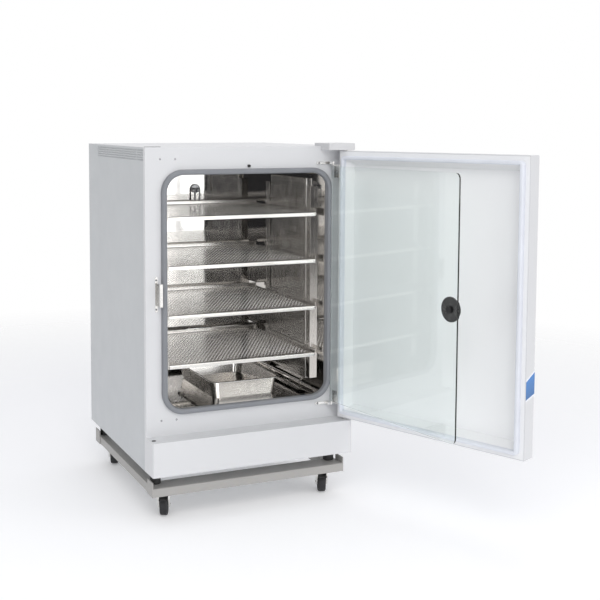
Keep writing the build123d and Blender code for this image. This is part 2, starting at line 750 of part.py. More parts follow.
def water_pan():
    """A shallow tray with rounded corners, sloping walls and a flat rim."""
    z0 = chamber_low + rest_gap
    z1 = z0 + pan_height
    y_mid = front + pan_setback + pan_length / 2
    inner_width, inner_length = pan_width - 2 * pan_rim, pan_length - 2 * pan_rim

    def body(grow, low):
        upper = Pos(pan_middle, y_mid) * RectangleRounded(inner_width + 2 * grow, inner_length + 2 * grow, 22 + grow)
        lower = Pos(pan_middle, y_mid) * RectangleRounded(
            inner_width - 2 * pan_draft + 2 * grow, inner_length - 2 * pan_draft + 2 * grow, 18 + grow
        )
        return loft([Plane.XY.offset(low) * lower, Plane.XY.offset(z1) * upper])

    rim = slab_z(Pos(pan_middle, y_mid) * RectangleRounded(pan_width, pan_length, 30), z1 - pan_wall, z1)
    return rim + body(pan_wall, z0) - body(0, z0 + pan_wall)


pan_draft = 9.0
nodes["water_pan"] = water_pan()


# ---------------------------------------------------------------- wheeled base
half_base = base_width / 2
cross = [
    block(-half_base, half_base, y0, y0 + cross_rail_width, rail_underside, rail_top)
    for y0 in (base_front, base_back - cross_rail_width)
]
sides = []
side_y0, side_y1 = base_front + cross_rail_width, base_back - cross_rail_width
for side in (-1, 1):
    x0, x1 = sorted((side * (half_base - rail_width), side * half_base))
    sides.append(block(x0, x1, side_y0, side_y1, rail_underside, rail_top))
rails = [fillet(rail.edges().group_by(SortBy.LENGTH)[-1], 2) for rail in cross + sides]
nodes["base_rails"] = Compound(rails)


def corner_plate(sx, sy):
    """A plate that stands on the side of a corner of the base and keeps the feet from sliding off."""
    x, y = sx * half_base, base_front if sy < 0 else base_back
    across = sorted((x, x + sx * corner_plate_sheet))
    along = sorted((y - sy * corner_plate_size, y))
    return block(*across, *along, rail_underside, rail_underside + corner_plate_rise)


nodes["corner_plates"] = Compound([corner_plate(sx, sy) for sx in (-1, 1) for sy in (-1, 1)])

feet = []
for x in (left + foot_inset_x, right - foot_inset_x):
    for y in (front + foot_inset_y, base_back - foot_inset_y):
        foot = rod_z(foot_radius, rail_top, bottom, x, y)
        feet.append(fillet(foot.faces().sort_by(Axis.Z)[0].edges(), 2))
nodes["equipment_feet"] = Compound(feet)

# casters: a plate and stem on the base, a fork that swivels on the stem, a wheel and its axle
plate_z1 = rail_underside
plate_z0 = plate_z1 - 3
crown_z1 = plate_z0 - 1.0
crown_z0 = crown_z1 - fork_sheet
stem_radius, keeper_gap = 5.0, 0.5
brake_pin, brake_y, brake_z = 2.0, -10.0, crown_z0 - 5.0
stations = {
    "front_left": (-half_base + caster_inset, base_front + caster_inset, True),
    "front_right": (half_base - caster_inset, base_front + caster_inset, True),
    "rear_left": (-half_base + caster_inset, base_back - caster_inset, False),
    "rear_right": (half_base - caster_inset, base_back - caster_inset, False),
}


def caster_place(x, y, shape):
    """Carries a caster drawn at the origin, rolling along Y, to its corner of the base."""
    return Pos(x, y, 0) * Rot(0, 0, caster_turn) * shape


def caster_plate(x, y):
    plate = block(x - 26, x + 26, y - 26, y + 26, plate_z0, plate_z1)
    stem = rod_z(stem_radius, crown_z0 - keeper_gap, plate_z0, x, y)
    return plate + stem + rod_z(8, crown_z0 - keeper_gap - 1.8, crown_z0 - keeper_gap, x, y)


def caster_fork(braked):
    """Two side plates and a crown, with the axle as a solid of its own."""
    reach = fork_half + fork_sheet
    crown = block(-reach, reach, -16, caster_trail + 12, crown_z0, crown_z1)
    crown -= rod_z(stem_radius + running_gap, crown_z0, crown_z1, 0, 0)
    fork = crown
    for side in (-1, 1):
        x0, x1 = sorted((side * fork_half, side * reach))
        profile = Polygon(
            (-16, crown_z1), (-16, brake_z - 4), (caster_trail - 8, wheel_radius - 7),
            (caster_trail + 9, wheel_radius - 7), (caster_trail + 11, crown_z1), align=None,
        )
        fork += slab_x(profile, x0, x1)
    if braked:
        fork -= rod_x(brake_pin + running_gap, -reach, reach, brake_y, brake_z)
    fork -= rod_x(axle_radius, -reach, reach, caster_trail, wheel_radius)
    axle = rod_x(axle_radius, -reach - 1, reach + 1, caster_trail, wheel_radius)
    return [fork, axle]


def caster_wheel():
    half = wheel_width / 2
    wheel = rod_x(wheel_radius, -half, half, caster_trail, wheel_radius)
    wheel = fillet(wheel.edges().filter_by(GeomType.CIRCLE), 3)
    return wheel - rod_x(axle_radius + wheel_bore_gap, -half, half, caster_trail, wheel_radius)


def brake_lever():
    """A pedal on a cross pin in the fork, that tips down in front of the wheel."""
    pedal = block(-fork_half + 0.5, fork_half - 0.5, -40, brake_y + 3, brake_z - 1.5, brake_z + 1.5)
    pedal = fillet(pedal.edges().filter_by(Axis.Z).group_by(Axis.Y)[0], 3)
    return pedal + rod_x(brake_pin, -fork_half - fork_sheet, fork_half + fork_sheet, brake_y, brake_z)


plates = []
for name, (x, y, braked) in stations.items():
    nodes[f"wheel_{name}"] = caster_place(x, y, caster_wheel())
    nodes[f"fork_{name}"] = caster_place(x, y, Compound(caster_fork(braked)))
    plates.append(caster_plate(x, y))
    if braked:
        nodes[f"brake_{name}"] = caster_place(x, y, brake_lever())
nodes["caster_plates"] = Compound(plates)


# ---------------------------------------------------------------- screws
def front_screw(x, z, y, proud):
    """A screw whose rounded head stands proud of the plane y."""
    head = rod_y(screw_radius, y - proud, y, x, z)
    return fillet(head.faces().sort_by(Axis.Y)[0].edges(), proud / 2)


pan_head = 1.2
flat_head = seal_gap - 0.2  # the closed door's seal passes over these
screws = []
for x, z in ((44, 877), (88, 877), (45, 143), (90, 142)):
    screws.append(front_screw(left + x, bottom + z, front, flat_head))
for z in (knob_z - strike_half + 8, knob_z + strike_half - 8):
    screws.append(front_screw(strike_web - 4.2, z, front - 2, pan_head))
for z in (pane_high + bracket_gap + bracket_height / 2, pane_low - bracket_gap - bracket_height / 2):
    screws.append(front_screw(glass_x - 40, z, front - 6, pan_head))
for x in (hinge_x - 36, hinge_x + 2):
    screws.append(rod_z(screw_radius, top_plate_z1, top_plate_z1 + pan_head, x, front + 20))
    cap -= rod_z(screw_radius + 0.3, top_plate_z1, top_plate_z1 + pan_head + 0.3, x, front + 20)
for x in (left + 20, 0, right - 20):
    for z in (bottom + 20, (bottom + top) / 2, top - 20):
        screws.append(rod_y(screw_radius, rear, rear + 1.6, x, z))
nodes["hinge_cap"] = cap
nodes["casing_screws"] = Compound(screws)

os.makedirs("parts", exist_ok=True)
for name, shape in nodes.items():
    export_step(shape, f"parts/{name}.step")
print(len(nodes), "sub-parts written")
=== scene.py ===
import json
import math

import bmesh
import bpy
from mathutils import Matrix, Vector


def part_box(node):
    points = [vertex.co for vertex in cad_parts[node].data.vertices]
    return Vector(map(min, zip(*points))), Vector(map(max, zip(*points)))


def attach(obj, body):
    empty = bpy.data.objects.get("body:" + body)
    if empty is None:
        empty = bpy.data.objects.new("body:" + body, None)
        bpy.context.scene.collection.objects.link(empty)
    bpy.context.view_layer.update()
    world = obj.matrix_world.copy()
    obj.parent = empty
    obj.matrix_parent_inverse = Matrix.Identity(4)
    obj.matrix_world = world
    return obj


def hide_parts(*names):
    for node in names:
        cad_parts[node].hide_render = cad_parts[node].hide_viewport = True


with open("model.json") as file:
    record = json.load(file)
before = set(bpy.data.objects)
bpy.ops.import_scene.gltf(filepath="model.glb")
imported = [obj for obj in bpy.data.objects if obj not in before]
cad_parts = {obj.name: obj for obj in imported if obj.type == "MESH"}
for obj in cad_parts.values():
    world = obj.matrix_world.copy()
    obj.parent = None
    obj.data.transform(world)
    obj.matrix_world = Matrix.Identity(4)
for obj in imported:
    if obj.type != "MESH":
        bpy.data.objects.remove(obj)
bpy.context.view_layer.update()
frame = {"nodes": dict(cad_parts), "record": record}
record = frame["record"]
nodes = frame["nodes"]
scene = bpy.context.scene
mm = 0.001


# camera, floor and light
camera = {"place": (-1.2006, -3.0840, 1.1147), "turn": 23.47, "down": 4.63, "roll": 0.14, "lens": 63.90,
          "shift": (0.08, -0.15)}
stage = {"floor": 6.0, "floorColor": (0.95, 0.95, 0.96, 1), "floorGlow": 0.2, "fade": (1.3, 3.2),
         "world": (0.93, 0.94, 0.97, 1), "worldPower": 0.54, "back": (1.0, 1.0, 1.0, 1), "inMirrors": 0.9,
         "flag": ((-1.35, -3.7, 1.2), 1.7, 2.36, (0.012, 0.012, 0.014, 1))}
lamps = {  # place, aimed at, width, height, watts, colour
    "keySoft": ((-1.3, -3.1, 3.0), (0.1, -0.1, 0.6), 2.4, 1.8, 40, (1.0, 0.99, 0.97)),
    "topSoft": ((0.3, 0.4, 3.6), (0.0, 0.0, 0.9), 2.6, 2.6, 22, (0.95, 0.96, 1.0)),
    "leftSoft": ((-3.6, -0.4, 1.6), (0.0, 0.0, 0.6), 1.8, 2.2, 6.5, (1.0, 1.0, 1.0)),
    "rightSoft": ((2.8, -3.0, 1.7), (0.2, -0.5, 0.6), 1.6, 2.2, 18, (1.0, 0.99, 0.98)),
    "frontSoft": ((0.2, -4.2, 1.2), (0.0, 0.0, 0.7), 2.6, 2.0, 27, (1.0, 1.0, 1.0)),
}


def makeCamera(spec):
    data = bpy.data.cameras.new("camera")
    data.lens = spec["lens"]
    data.shift_x, data.shift_y = spec["shift"]
    data.clip_end = 100
    eye = bpy.data.objects.new("camera", data)
    eye.location = spec["place"]
    aim = Matrix.Rotation(math.radians(-spec["turn"]), 4, "Z")
    tilt = Matrix.Rotation(math.radians(90 - spec["down"]), 4, "X")
    eye.rotation_euler = (aim @ tilt @ Matrix.Rotation(math.radians(spec["roll"]), 4, "Z")).to_euler()
    scene.collection.objects.link(eye)
    scene.camera = eye


def makeLamp(name, place, target, width, height, watts, color):
    data = bpy.data.lights.new(name, "AREA")
    data.shape = "RECTANGLE"
    data.size, data.size_y, data.energy, data.color = width, height, watts, color
    lamp = bpy.data.objects.new(name, data)
    lamp.location = place
    lamp.rotation_euler = (Vector(target) - Vector(place)).to_track_quat("-Z", "Y").to_euler()
    scene.collection.objects.link(lamp)


# shader arithmetic
class Wire:
    def __init__(self, tree, socket):
        self.tree, self.socket = tree, socket

    def node(self, kind, settings=None, sockets=None, out=0):
        made = self.tree.nodes.new(kind)
        for key, value in (settings or {}).items():
            setattr(made, key, value)
        for key, value in (sockets or {}).items():
            if isinstance(value, Wire):
                self.tree.links.new(value.socket, made.inputs[key])
            else:
                made.inputs[key].default_value = value
        return Wire(self.tree, made.outputs[out])

    def maths(self, operation, a, b=0.0, c=0.0):
        return self.node("ShaderNodeMath", {"operation": operation}, {0: a, 1: b, 2: c})

    def __add__(self, other):
        return self.maths("ADD", self, other)

    def __radd__(self, other):
        return self.maths("ADD", other, self)

    def __sub__(self, other):
        return self.maths("SUBTRACT", self, other)

    def __rsub__(self, other):
        return self.maths("SUBTRACT", other, self)

    def __mul__(self, other):
        return self.maths("MULTIPLY", self, other)

    def __rmul__(self, other):
        return self.maths("MULTIPLY", other, self)

    def __truediv__(self, other):
        return self.maths("DIVIDE", self, other)

    def __rtruediv__(self, other):
        return self.maths("DIVIDE", other, self)

    def ramp(self, low, high, start=0.0, end=1.0):
        return self.node("ShaderNodeMapRange", {}, {"Value": self, "From Min": low, "From Max": high,
                                                    "To Min": start, "To Max": end})

    def mix(self, first, second):  # colours, this wire is the factor
        return self.node("ShaderNodeMix", {"data_type": "RGBA"}, {0: self, 6: first, 7: second}, out=2)

    def stretch(self, x, y, z):
        return self.node("ShaderNodeVectorMath", {"operation": "MULTIPLY"}, {0: self, 1: (x, y, z)})

    def noise(self, scale, detail=3.0, rough=0.55):
        settings = {"Vector": self, "Scale": scale, "Detail": detail, "Roughness": rough}
        return self.node("ShaderNodeTexNoise", {}, settings)

    def part(self, axis):
        return self.node("ShaderNodeSeparateXYZ", {}, {0: self}, out="XYZ".index(axis))


def shade(color, amount):
    return (color[0] * amount, color[1] * amount, color[2] * amount, 1)


# one entry per finish; grain sizes are cycles per metre
finishes = {
    "paint": {"rough": (0.30, 0.42), "grain": 1500, "bump": 0.05, "mottle": 5, "depth": 0.012, "coat": 0.12,
              "edge": 0.0009, "dust": 0.03},
    "steel": {"rough": (0.15, 0.24), "grain": 900, "bump": 0.006, "mottle": 7, "depth": 0.05, "edge": 0.0005,
              "metal": 1.0, "brush": (0.02, 1.0, 1.0)},
    "mirror": {"rough": (0.025, 0.07), "grain": 500, "bump": 0.002, "mottle": 5, "depth": 0.04, "edge": 0.0,
               "metal": 1.0, "brush": (1.0, 0.03, 1.0)},
    "rubber": {"rough": (0.48, 0.66), "grain": 2400, "bump": 0.10, "mottle": 14, "depth": 0.06, "edge": 0.0007,
               "dust": 0.10},
    "plastic": {"rough": (0.36, 0.52), "grain": 2800, "bump": 0.12, "mottle": 10, "depth": 0.04, "edge": 0.0006,
                "dust": 0.05},
    "gloss": {"rough": (0.14, 0.20), "grain": 1800, "bump": 0.008, "mottle": 4, "depth": 0.010, "edge": 0.0005,
              "coat": 0.3},
    "foam": {"rough": (0.8, 0.95), "grain": 420, "bump": 0.5, "mottle": 20, "depth": 0.12, "edge": 0.0},
}


def makeMaterial(name, color, finish, **changes):
    spec = {"coat": 0.0, "metal": 0.0, "dust": 0.0, "brush": (1, 1, 1), **finishes[finish], **changes}
    material = bpy.data.materials.new(name)
    material.use_nodes = True
    tree = material.node_tree
    shader = tree.nodes["Principled BSDF"]
    shader.inputs["Metallic"].default_value = spec["metal"]
    shader.inputs["Coat Weight"].default_value = spec["coat"]
    shader.inputs["Coat Roughness"].default_value = 0.12
    start = Wire(tree, None)
    place = start.node("ShaderNodeTexCoord", out="Object")
    grainPlace = place.stretch(*spec["brush"])
    cloud = place.noise(spec["mottle"], 4.0)
    grain = grainPlace.noise(spec["grain"], 2.0)
    smear = grainPlace.noise(spec["mottle"] * 3, 5.0, 0.65)
    tint = cloud.ramp(0.3, 0.7).mix(shade(color, 1 - spec["depth"]), shade(color, 1 + spec["depth"] * 0.4))
    tint = grain.ramp(0.35, 0.75, 0, spec["depth"]).mix(tint, shade(color, 0.72))
    if spec["dust"]:
        facing = start.node("ShaderNodeNewGeometry", out="Normal").part("Z")
        settled = facing.ramp(0.2, 1.0, 0.0, spec["dust"]) * cloud.ramp(0.35, 0.65)
        tint = settled.mix(tint, (0.62, 0.60, 0.57, 1))
    low, high = spec["rough"]
    rough = smear.ramp(0.3, 0.7, low, high)
    tree.links.new(tint.socket, shader.inputs["Base Color"])
    tree.links.new(rough.socket, shader.inputs["Roughness"])
    settings = {"Height": grain, "Strength": spec["bump"], "Distance": 0.0004}
    if spec["edge"]:
        settings["Normal"] = start.node("ShaderNodeBevel", {"samples": 4}, {"Radius": spec["edge"]})
    bump = start.node("ShaderNodeBump", {}, settings)
    tree.links.new(bump.socket, shader.inputs["Normal"])
    return material


def makeGlass(name):
    material = makeMaterial(name, (0.955, 0.985, 0.975), "gloss", rough=(0.0, 0.03), bump=0.004, depth=0.02,
                            edge=0.0)
    shader = material.node_tree.nodes["Principled BSDF"]
    shader.inputs["Transmission Weight"].default_value = 1.0
    shader.inputs["IOR"].default_value = 1.46
    shader.inputs["Coat Weight"].default_value = 0.0
    tree = material.node_tree
    start = Wire(tree, None)
    shadow = start.node("ShaderNodeLightPath", out="Is Shadow Ray")
    clear = start.node("ShaderNodeBsdfTransparent", {}, {"Color": (0.71, 0.755, 0.76, 1)})
    both = start.node("ShaderNodeMixShader", {}, {0: shadow, 1: Wire(tree, shader.outputs[0]), 2: clear})
    tree.links.new(both.socket, tree.nodes["Material Output"].inputs["Surface"])
    return material


def makeLabel(name, spec):  # a blue band with a pale border along its two long edges
    material = makeMaterial(name, spec["blue"], "gloss")
    tree = material.node_tree
    shader = tree.nodes["Principled BSDF"]
    start = Wire(tree, None)
    place = start.node("ShaderNodeTexCoord", out="Object")
    turn, hinge = math.radians(spec["turn"]), spec["hinge"]
    x, y = place.part("X") - hinge[0], place.part("Y") - hinge[1]
    along = x * math.cos(turn) + y * math.sin(turn) + (hinge[0] - spec["edge"])
    deep = y * math.cos(turn) - x * math.sin(turn) + (hinge[1] - spec["face"])
    along, deep = along.maths("MAXIMUM", along, 0.0), deep.maths("MAXIMUM", deep, 0.0)
    low = spec["low"] - deep * spec["lowSlope"] - along * spec["faceSlope"]
    tall = spec["tall"] - deep * (spec["highSlope"] - spec["lowSlope"])
    share = (place.part("Z") - low) / tall
    border = share.maths("ABSOLUTE", share - 0.5).ramp(0.410, 0.418)
    fade = share.ramp(0.0, 1.0).mix(shade(spec["blue"], 0.85), shade(spec["blue"], 1.35))
    tree.links.new(border.mix(fade, (0.86, 0.89, 0.95, 1)).socket, shader.inputs["Base Color"])
    return material


print("shader tools ready")


# finishes of the record's material slots
slotLooks = {
    "front_paint": ((0.70, 0.705, 0.72), "paint", {}),
    "side_paint": ((0.545, 0.565, 0.58), "paint", {}),
    "cap_plastic": ((0.66, 0.66, 0.67), "plastic", {}),
    "polished_steel": ((0.78, 0.765, 0.745), "mirror", {}),
    "brushed_steel": ((0.78, 0.76, 0.735), "steel", {}),
    "hardware_steel": ((0.80, 0.79, 0.77), "steel", {"grain": 1300}),
    "screw_steel": ((0.30, 0.30, 0.31), "steel", {"brush": (1, 1, 1)}),
    "chamber_silicone": ((0.235, 0.245, 0.265), "rubber", {}),
    "liner_plastic": ((0.86, 0.865, 0.875), "gloss", {"coat": 0.08, "rough": (0.28, 0.34)}),
    "seal_rubber": ((0.76, 0.785, 0.85), "rubber", {"rough": (0.34, 0.48)}),
    # painted shade: the foam is given a dark grey so the side panel's vent holes read as dark openings
    "foam": ((0.13, 0.125, 0.12), "foam", {}),
    "heater_foil": ((0.80, 0.55, 0.30), "steel", {"brush": (1, 1, 0.1)}),
    "circuit_board": ((0.04, 0.22, 0.09), "gloss", {"grain": 900}),
    "dark_plastic": ((0.008, 0.008, 0.009), "plastic", {"rough": (0.5, 0.62), "dust": 0.01}),
    "sensor_steel": ((0.30, 0.30, 0.31), "steel", {"brush": (1, 1, 1)}),
    "motor_metal": ((0.10, 0.10, 0.11), "paint", {}),
    "gas_brass": ((0.70, 0.52, 0.25), "steel", {"brush": (1, 0.1, 1)}),
    "panel_plastic": ((0.62, 0.63, 0.66), "plastic", {}),
    "display_glass": ((0.012, 0.018, 0.028), "gloss", {"rough": (0.05, 0.1)}),
    "base_paint": ((0.40, 0.39, 0.375), "paint", {"rough": (0.4, 0.55), "coat": 0.0}),
    "foot_rubber": ((0.03, 0.03, 0.03), "rubber", {}),
    "wheel_rubber": ((0.016, 0.016, 0.018), "rubber", {}),
}
doorJoint = next(j for j in record["behaviour"]["joints"] if j["name"] == "outer_door_hinge")
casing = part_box("rear_panel")
label = {"blue": (0.026, 0.16, 0.445), "turn": 113.0, "hinge": doorJoint["pos_m"], "edge": casing[0].x,
         "face": -0.354, "low": casing[0].z + 0.270, "tall": 0.069, "lowSlope": 10 / 43, "highSlope": 21 / 43,
         "faceSlope": 12 / 33}
materials = {}
for name, (color, finish, changes) in slotLooks.items():
    materials[name] = makeMaterial(name, color, finish, **changes)
materials["clear_glass"] = makeGlass("clear_glass")
materials["accent_blue"] = makeLabel("accent_blue", label)
slotOf = {item["node"]: item["material_slot"] for item in record["subparts"]}
for name, carried in nodes.items():
    while len(carried.data.materials) > 1:
        carried.data.materials.pop()
    if not carried.material_slots:
        carried.data.materials.append(None)
    for place in carried.material_slots:
        place.material = materials[slotOf[name]]
print("materials on", len(nodes), "carried-over nodes")


# mesh tools
def addObject(name, mesh, slotName, body, stands=()):
    made = bpy.data.objects.new(name, mesh)
    scene.collection.objects.link(made)
    if not mesh.materials:
        mesh.materials.append(materials[slotName])
    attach(made, body)
    if stands:
        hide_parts(*stands)
    return made


def smooth(mesh, angle=35):
    mesh.shade_smooth()
    mesh.set_sharp_from_angle(angle=math.radians(angle))


def prism(build, outline, carry):
    # a closed bar: the outline is a list of 2-D points, carry places (u, v, end) in space, end is 0 or 1
    near = [build.verts.new(carry(u, v, 0)) for u, v in outline]
    far = [build.verts.new(carry(u, v, 1)) for u, v in outline]
    build.faces.new(near)
    build.faces.new(far[::-1])
    for i in range(len(outline)):
        j = (i + 1) % len(outline)
        build.faces.new((near[j], near[i], far[i], far[j]))


def finishMesh(build, name):
    bmesh.ops.recalc_face_normals(build, faces=build.faces[:])
    mesh = bpy.data.meshes.new(name)
    build.to_mesh(mesh)
    build.free()
    return mesh


def joinMeshes(name, meshes):
    build = bmesh.new()
    for mesh in meshes:
        build.from_mesh(mesh)
    joined = bpy.data.meshes.new(name)
    build.to_mesh(joined)
    build.free()
    return joined


# perforated sheet: a holed cell and a plain half cell, repeated in staggered rows
def cellMesh(pitch, rowPitch, radius, sides=8):
    mesh = bpy.data.meshes.new("cell")
    w, h = pitch / 2, rowPitch / 2
    outer = [(w, -h), (w, h), (0, h), (-w, h), (-w, -h), (0, -h)]
    ring = [(radius * math.cos(math.radians(a)), radius * math.sin(math.radians(a)))
            for a in (-22.5 + 45 * i for i in range(sides))]
    o = len(outer)
    faces = [(0, 1, o + 1, o + 0), (1, 2, o + 2, o + 1), (2, o + 3, o + 2), (2, 3, o + 4, o + 3),
             (3, 4, o + 5, o + 4), (4, 5, o + 6, o + 5), (5, o + 7, o + 6), (5, 0, o + 0, o + 7)]
    half = [(w / 2, -h), (w / 2, h), (-w / 2, h), (-w / 2, -h)]
    count = o + sides
    mesh.from_pydata([(x, y, 0) for x, y in outer + ring + half], [],
                     faces + [(count, count + 1, count + 2, count + 3)])
    plain = mesh.attributes.new("plain", "BOOLEAN", "FACE")
    plain.data.foreach_set("value", [False] * len(faces) + [True])
    return mesh


def sheetTree():
    tree = bpy.data.node_groups.new("perforatedSheet", "GeometryNodeTree")
    face = tree.interface
    face.new_socket("Geometry", in_out="OUTPUT", socket_type="NodeSocketGeometry")
    face.new_socket("Cell", in_out="INPUT", socket_type="NodeSocketGeometry")
    for name, kind in (("Columns", "Int"), ("Row pairs", "Int"), ("Pitch", "Float"), ("Row pitch", "Float")):
        face.new_socket(name, in_out="INPUT", socket_type="NodeSocket" + kind)
    face.new_socket("Material", in_out="INPUT", socket_type="NodeSocketMaterial")

    def add(kind, settings=None, sockets=None):
        made = tree.nodes.new(kind)
        for key, value in (settings or {}).items():
            setattr(made, key, value)
        for key, value in (sockets or {}).items():
            if isinstance(value, bpy.types.NodeSocket):
                tree.links.new(value, made.inputs[key])
            else:
                made.inputs[key].default_value = value
        return made

    def maths(operation, a, b):
        return add("ShaderNodeMath", {"operation": operation}, {0: a, 1: b}).outputs[0]

    given = add("NodeGroupInput").outputs
    plain = add("GeometryNodeInputNamedAttribute", {"data_type": "BOOLEAN"}, {"Name": "plain"})
    split = add("GeometryNodeSeparateGeometry", {"domain": "FACE"},
                {"Geometry": given["Cell"], "Selection": plain.outputs["Attribute"]})
    halfCell, holedCell = split.outputs["Selection"], split.outputs["Inverted"]
    fewer = maths("SUBTRACT", given["Columns"], 1.0)
    pairPitch = maths("MULTIPLY", given["Row pitch"], 2.0)
    deep = maths("MULTIPLY", maths("SUBTRACT", given["Row pairs"], 1.0), pairPitch)
    shift = maths("MULTIPLY", given["Row pitch"], 0.5)
    wideA = maths("MULTIPLY", fewer, given["Pitch"])
    wideB = maths("SUBTRACT", wideA, given["Pitch"])
    wideEnds = maths("ADD", wideA, maths("MULTIPLY", given["Pitch"], 0.5))
    rows = ((wideA, given["Columns"], holedCell, -1.0), (wideB, fewer, holedCell, 1.0),
            (wideEnds, 2, halfCell, 1.0))
    join = add("GeometryNodeJoinGeometry")
    for wide, count, cell, way in rows:
        grid = add("GeometryNodeMeshGrid", {}, {"Size X": wide, "Size Y": deep, "Vertices X": count,
                                                "Vertices Y": given["Row pairs"]})
        move = add("ShaderNodeCombineXYZ", {}, {"Y": maths("MULTIPLY", shift, way)})
        moved = add("GeometryNodeTransform", {},
                    {"Geometry": grid.outputs["Mesh"], "Translation": move.outputs[0]})
        placed = add("GeometryNodeInstanceOnPoints", {}, {"Points": moved.outputs[0], "Instance": cell})
        tree.links.new(placed.outputs[0], join.inputs[0])
    real = add("GeometryNodeRealizeInstances", {}, {"Geometry": join.outputs[0]})
    merged = add("GeometryNodeMergeByDistance", {}, {"Geometry": real.outputs[0], "Distance": 0.00002})
    painted = add("GeometryNodeSetMaterial", {},
                  {"Geometry": merged.outputs[0], "Material": given["Material"]})
    add("NodeGroupOutput", {}, {"Geometry": painted.outputs[0]})
    return tree


def evaluated(holder):
    scene.collection.objects.link(holder)
    mesh = bpy.data.meshes.new_from_object(holder.evaluated_get(bpy.context.evaluated_depsgraph_get()))
    holder.modifiers.clear()
    bpy.data.objects.remove(holder)
    return mesh


def perforated(name, spec, material, place):
    holder = bpy.data.objects.new(name, cellMesh(spec["pitch"], spec["rowPitch"], spec["hole"]))
    nodeStep = holder.modifiers.new("perforate", "NODES")
    nodeStep.node_group = perforatedTree
    values = {"Columns": spec["columns"], "Row pairs": spec["pairs"], "Pitch": spec["pitch"],
              "Row pitch": spec["rowPitch"], "Material": material}
    for item in perforatedTree.interface.items_tree:
        if item.in_out == "INPUT" and item.name in values:
            nodeStep[item.identifier] = values[item.name]
    thick = holder.modifiers.new("thick", "SOLIDIFY")
    thick.thickness, thick.offset = spec["sheet"], -1
    mesh = evaluated(holder)
    mesh.transform(place)
    return mesh


perforatedTree = sheetTree()

# shelves
shelf = {"pitch": 11 * mm, "rowPitch": 9.4 * mm, "hole": 3.7 * mm, "columns": 40, "pairs": 22,
         "sheet": 1.2 * mm, "bend": 2.4 * mm, "front": 11 * mm, "rear": 10 * mm,
         "names": ("shelf_1", "shelf_2", "shelf_3", "shelf_4")}


def bentLip(inner, out, drop, sheet, bend, steps=5):
    # the section of a sheet that ends in a rounded bend: u runs outwards, v upwards
    turns = [math.pi / 2 * i / steps for i in range(steps + 1)]
    outside = [(out - bend + bend * math.sin(a), -bend + bend * math.cos(a)) for a in turns]
    inside = [(out - bend + (bend - sheet) * math.sin(a), -bend + (bend - sheet) * math.cos(a)) for a in turns]
    return [(inner, 0)] + outside + [(out, -drop), (out - sheet, -drop)] + inside[::-1] + [(inner, -sheet)]


def makeShelf(name, spec):
    low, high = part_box(name)
    level, sheet = low.z + spec["front"], spec["sheet"]
    middle = Vector(((low.x + high.x) / 2, (low.y + high.y) / 2, level))
    field = perforated("field", spec, materials["brushed_steel"], Matrix.Translation(middle))
    halfX, halfY = spec["columns"] * spec["pitch"] / 2, spec["pairs"] * spec["rowPitch"]
    build = bmesh.new()
    frontLip = bentLip(0, middle.y - halfY - low.y, spec["front"], sheet, spec["bend"])
    prism(build, frontLip, lambda u, v, end: (high.x if end else low.x, middle.y - halfY - u, level + v))
    rearLip = bentLip(0, high.y - middle.y - halfY, spec["rear"] + sheet, sheet, spec["bend"])
    prism(build, rearLip, lambda u, v, end: (high.x if end else low.x, middle.y + halfY + u,
                                             level - v - sheet))
    strip = [(0, 0), (0, -sheet), (1, -sheet), (1, 0)]
    for start, stop in ((low.x, middle.x - halfX), (middle.x + halfX, high.x)):
        prism(build, strip, lambda u, v, end: (start + (stop - start) * u,
                                               middle.y + (halfY if end else -halfY), level + v))
    mesh = joinMeshes(name + "Mesh", [field, finishMesh(build, "edges")])
    mesh.materials.append(materials["brushed_steel"])
    smooth(mesh, 30)
    addObject(name + "Sheet", mesh, "brushed_steel", name, [name])


for name in shelf["names"]:
    makeShelf(name, shelf)
print("shelves made")

# air duct on the right wall
duct = {"pitch": 9.5 * mm, "rowPitch": 8.2 * mm, "hole": 2.3 * mm, "columns": 26, "pairs": 36,
        "sheet": 1.0 * mm, "bend": 2 * mm}


def makeDuct(spec):
    low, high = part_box("duct_panel")
    sheet = spec["sheet"]
    middle = (low + high) / 2
    turn = Matrix(((0, 0, -1, low.x), (1, 0, 0, middle.y), (0, -1, 0, middle.z), (0, 0, 0, 1)))
    field = perforated("field", spec, materials["brushed_steel"], turn)
    halfY, halfZ = spec["columns"] * spec["pitch"] / 2, spec["pairs"] * spec["rowPitch"]
    build = bmesh.new()
    for start, stop in ((low.y, middle.y - halfY), (high.y, middle.y + halfY)):
        flange = bentLip(0, abs(start - stop), high.x - low.x, sheet, spec["bend"])
        way = 1 if start > stop else -1
        prism(build, flange, lambda u, v, end: (low.x - v, stop + way * u, high.z if end else low.z))
    for start, stop in ((low.z, middle.z - halfZ), (high.z, middle.z + halfZ)):
        flange = bentLip(0, abs(start - stop), high.x - low.x, sheet, spec["bend"])
        way = 1 if start > stop else -1
        prism(build, flange, lambda u, v, end: (low.x - v, middle.y + (halfY if end else -halfY),
                                                stop + way * u))
    mesh = joinMeshes("ductMesh", [field, finishMesh(build, "edges")])
    mesh.materials.append(materials["brushed_steel"])
    smooth(mesh, 30)
    addObject("ductSheet", mesh, "brushed_steel", "cabinet", ["duct_panel"])


makeDuct(duct)
print("air duct made")

# wheels: a turned tyre and a recessed hub; the section goes along the axle and out from it,
# as shares of the half width and the radius
wheel = {"steps": 56, "width": 24 * mm, "section": [
    (1.0, 0.18), (1.0, 0.34), (0.62, 0.40), (0.62, 0.66), (0.95, 0.70), (1.0, 0.76), (0.97, 0.88),
    (0.86, 0.955), (0.62, 0.99), (0.30, 1.0)]}


